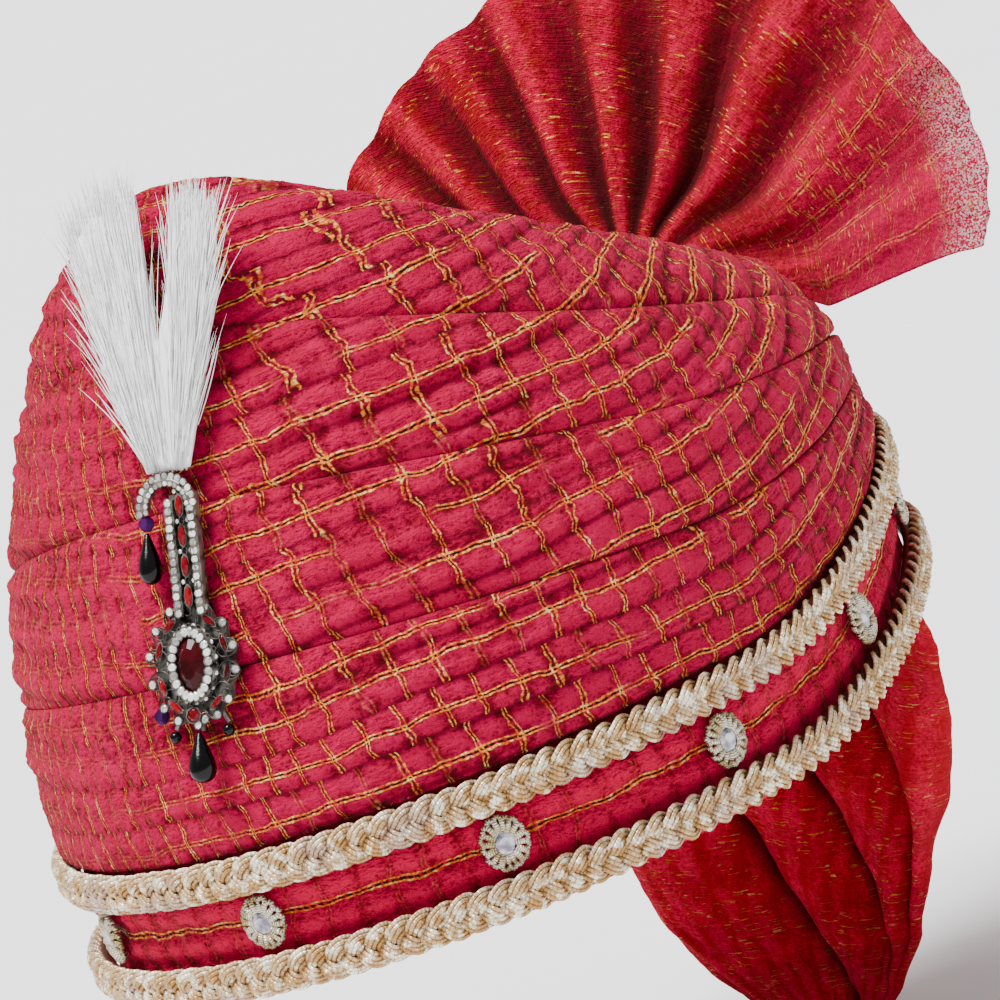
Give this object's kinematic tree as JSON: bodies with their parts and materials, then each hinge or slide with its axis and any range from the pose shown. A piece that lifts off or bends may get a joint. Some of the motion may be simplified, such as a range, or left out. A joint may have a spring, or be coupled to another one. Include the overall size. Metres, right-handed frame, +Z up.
{
  "type": "tied turban",
  "caption": "Tied cloth turban with overlapping wound folds, plaited gold braid bands, mirror flowers, a jewelled brooch with a feather plume, a pleated fan and a hanging tail.",
  "frame": {"origin": "centre of the oval head opening, at the height of the rim's lower edge, where the turban sits on the head", "axes": "+Z up through the crown; the brooch and the plume face -Y and the tail hangs at +Y; +X is the wearer's left"},
  "size_m": [0.2018, 0.2802, 0.2713],
  "materials": {
    "crinkled_cloth": "crinkled, soft sheen, gold check lines",
    "sheer_cloth": "sheer pleated cloth, soft sheen",
    "tail_cloth": "folded cloth, matt",
    "gold_braid": "plaited metallic thread",
    "silver_gold_wire": "wound bright wire",
    "mirror": "small round mirror",
    "filigree": "bright cast metal set with clear stones",
    "garnet": "polished, faceted",
    "purple_glass": "polished, faceted",
    "jet": "black, polished",
    "feather": "soft white feather"
  },
  "bodies": {
    "root": {"rim_band": "crinkled_cloth", "braid_lower": "gold_braid", "braid_upper": "gold_braid", "wrap_turn_1": "crinkled_cloth", "wrap_turn_2": "crinkled_cloth", "wrap_turn_3": "crinkled_cloth", "wrap_turn_4": "crinkled_cloth", "top_cloth": "crinkled_cloth", "fan": "sheer_cloth", "tail": "tail_cloth", "flower_01": "silver_gold_wire", "flower_02": "silver_gold_wire", "flower_03": "silver_gold_wire", "flower_04": "silver_gold_wire", "flower_05": "silver_gold_wire", "flower_06": "silver_gold_wire", "flower_07": "silver_gold_wire", "flower_08": "silver_gold_wire", "flower_09": "silver_gold_wire", "flower_10": "silver_gold_wire", "flower_11": "silver_gold_wire", "flower_12": "silver_gold_wire", "mirror_01": "mirror", "mirror_02": "mirror", "mirror_03": "mirror", "mirror_04": "mirror", "mirror_05": "mirror", "mirror_06": "mirror", "mirror_07": "mirror", "mirror_08": "mirror", "mirror_09": "mirror", "mirror_10": "mirror", "mirror_11": "mirror", "mirror_12": "mirror", "brooch_frame": "filigree", "garnet": "garnet", "purple_bead_upper": "purple_glass", "purple_bead_lower": "purple_glass", "jet_drop_upper": "jet", "jet_drop_lower": "jet", "jet_bead_left": "jet", "jet_bead_right": "jet", "feather_plume": "feather"}
  },
  "joints": []
}
